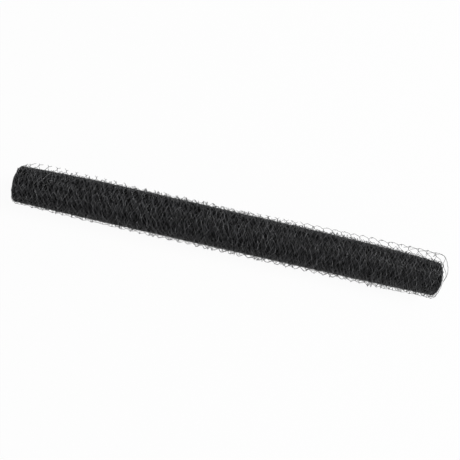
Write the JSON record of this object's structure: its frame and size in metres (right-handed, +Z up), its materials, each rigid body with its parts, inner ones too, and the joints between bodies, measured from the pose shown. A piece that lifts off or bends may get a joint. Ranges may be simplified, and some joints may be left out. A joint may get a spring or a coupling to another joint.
{
  "type": "roll of chicken wire",
  "caption": "Long roll of black coated hexagonal wire netting with an open bore, lying on its side with its last turn sprung loose.",
  "frame": {"origin": "under the middle of the roll, on the surface that it lies on", "axes": "+X along the roll, +Y to the back, where the free edge is, +Z up"},
  "size_m": [1.222, 0.1345, 0.1348],
  "materials": {
    "coated_wire": "black plastic-coated steel wire, satin"
  },
  "bodies": {
    "root": {"netting_roll": "coated_wire"}
  },
  "joints": []
}
